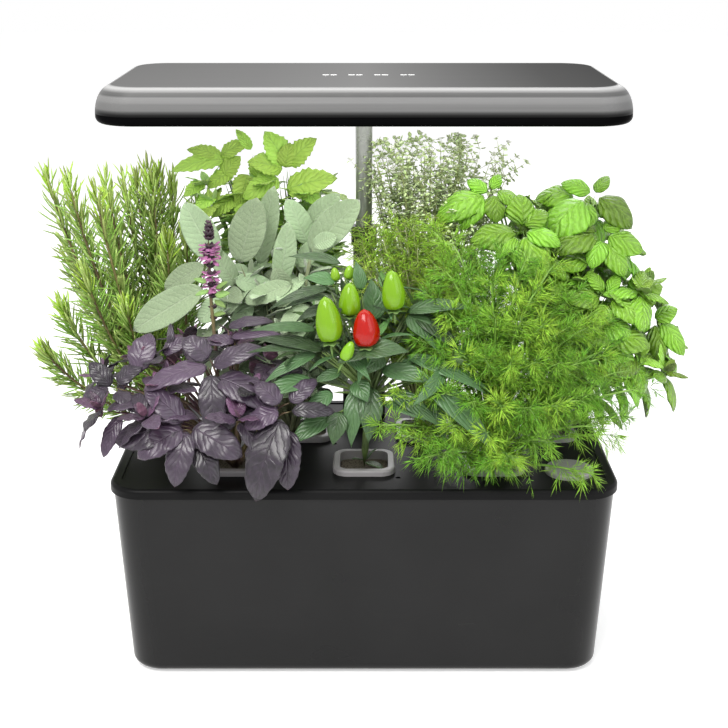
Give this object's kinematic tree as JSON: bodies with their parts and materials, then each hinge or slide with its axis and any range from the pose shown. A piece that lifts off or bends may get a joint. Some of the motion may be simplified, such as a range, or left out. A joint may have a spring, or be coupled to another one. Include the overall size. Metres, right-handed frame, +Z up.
{
  "type": "countertop hydroponic garden",
  "caption": "Countertop hydroponic garden: a black water tank under a lift-off grow deck with planted baskets, and a wide LED grow lamp on a telescopic mast.",
  "frame": {"origin": "on the resting surface, under the centre of the tank; the bottom centre of the whole object's box", "axes": "+X to the right seen from the front, +Y towards the back where the mast stands, +Z up"},
  "size_m": [0.512, 0.236, 0.428],
  "materials": {
    "tank": "black injection-moulded plastic, satin gloss",
    "rubber": "soft black rubber",
    "pump": "black matte plastic",
    "hose": "black flexible plastic",
    "deck": "black moulded plastic, fine satin",
    "steel": "plain steel screws",
    "jack": "black plastic inlet",
    "mast": "grey anodised tube",
    "bush": "grey plastic",
    "cap": "light grey translucent plastic",
    "float": "coloured foam float",
    "lamp_cover": "grey metallic satin plastic",
    "lamp_tray": "gloss black plastic",
    "diffuser": "frosted clear plastic",
    "board": "white coated board",
    "led": "yellow phosphor",
    "basket": "translucent smoky grey plastic",
    "sponge": "dark grow sponge",
    "purple_basil": "dark purple leaves",
    "pepper": "dark green leaves with small peppers",
    "dill": "bright green feathery fronds",
    "rosemary": "green needles",
    "sage": "felted grey-green leaves",
    "mint": "bright green toothed leaves",
    "oregano": "pale small leaves and flowers",
    "sweet_basil": "glossy green leaves"
  },
  "bodies": {
    "tank": {"tank": "tank", "rubber_feet": "rubber", "pump_body": "pump", "pump_suction_cups": "rubber", "pump_grille": "pump", "pump_riser": "hose"},
    "deck": {"grow_deck": "deck", "mast_socket": "deck", "socket_screws": "steel", "power_jack": "jack", "mast_sleeve": "mast", "mast_bush": "bush", "level_guide": "deck"},
    "fill_cap": {"fill_cap": "cap", "cap_seal": "rubber"},
    "level_float": {"level_float": "float"},
    "lamp": {"mast_tube": "mast", "mast_plug": "bush", "lamp_block": "bush", "lamp_cover": "lamp_cover", "lamp_tray": "lamp_tray", "lamp_screws": "steel", "lamp_diffuser": "diffuser", "led_board": "board", "led_chips": "led", "touch_board": "board"},
    "pod_1": {"basket_1": "basket", "sponge_1": "sponge", "purple_basil": "purple_basil"},
    "pod_2": {"basket_2": "basket", "sponge_2": "sponge", "pepper": "pepper"},
    "pod_3": {"basket_3": "basket", "sponge_3": "sponge", "dill": "dill"},
    "pod_4": {"basket_4": "basket", "sponge_4": "sponge", "rosemary": "rosemary"},
    "pod_5": {"basket_5": "basket", "sponge_5": "sponge", "sage": "sage", "mint": "mint"},
    "pod_6": {"basket_6": "basket", "sponge_6": "sponge", "oregano": "oregano"},
    "pod_7": {"basket_7": "basket", "sponge_7": "sponge", "sweet_basil": "sweet_basil"}
  },
  "joints": [
    {"name": "deck_lift", "type": "slide", "parent": "tank", "child": "deck", "axis": [0, 0, 1], "range_m": [0, 0.1]},
    {"name": "cap_lift", "type": "slide", "parent": "deck", "child": "fill_cap", "axis": [0, 0, 1], "range_m": [0, 0.018]},
    {"name": "float_rise", "type": "slide", "parent": "deck", "child": "level_float", "axis": [0, 0, 1], "range_m": [0, 0.03]},
    {"name": "lamp_height", "type": "slide", "parent": "deck", "child": "lamp", "axis": [0, 0, 1], "range_m": [-0.02, 0.085]},
    {"name": "pod_1_lift", "type": "slide", "parent": "deck", "child": "pod_1", "axis": [0, 0, 1], "range_m": [0, 0.06]},
    {"name": "pod_2_lift", "type": "slide", "parent": "deck", "child": "pod_2", "axis": [0, 0, 1], "range_m": [0, 0.06]},
    {"name": "pod_3_lift", "type": "slide", "parent": "deck", "child": "pod_3", "axis": [0, 0, 1], "range_m": [0, 0.06]},
    {"name": "pod_4_lift", "type": "slide", "parent": "deck", "child": "pod_4", "axis": [0, 0, 1], "range_m": [0, 0.045]},
    {"name": "pod_5_lift", "type": "slide", "parent": "deck", "child": "pod_5", "axis": [0, 0, 1], "range_m": [0, 0.022]},
    {"name": "pod_6_lift", "type": "slide", "parent": "deck", "child": "pod_6", "axis": [0, 0, 1], "range_m": [0, 0.028]},
    {"name": "pod_7_lift", "type": "slide", "parent": "deck", "child": "pod_7", "axis": [0, 0, 1], "range_m": [0, 0.05]}
  ]
}
